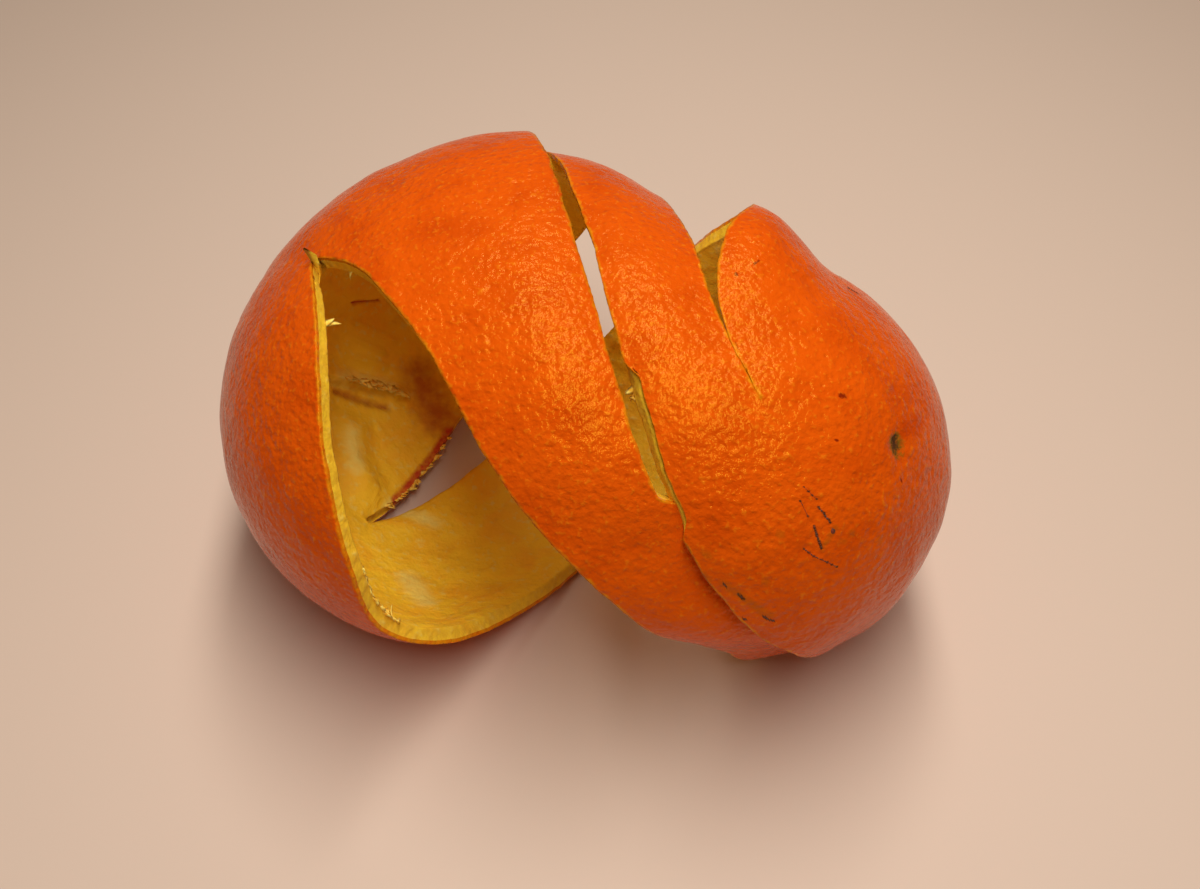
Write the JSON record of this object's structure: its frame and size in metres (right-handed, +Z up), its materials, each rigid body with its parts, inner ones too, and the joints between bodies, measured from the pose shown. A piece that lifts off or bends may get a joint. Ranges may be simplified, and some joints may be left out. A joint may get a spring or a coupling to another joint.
{
  "type": "orange peel",
  "caption": "Whole peel of an orange, cut in winding strips that still join its two round ends, lying on its side.",
  "frame": {"origin": "centre of the bounding box at its lowest level, where the peel rests", "axes": "+X from the stem end to the blossom end, +Y to the back, +Z up"},
  "size_m": [0.1388, 0.1078, 0.0843],
  "materials": {
    "orange_peel": "waxy pitted skin, soft matt pith inside"
  },
  "bodies": {
    "root": {"orange_peel": "orange_peel"}
  },
  "joints": []
}
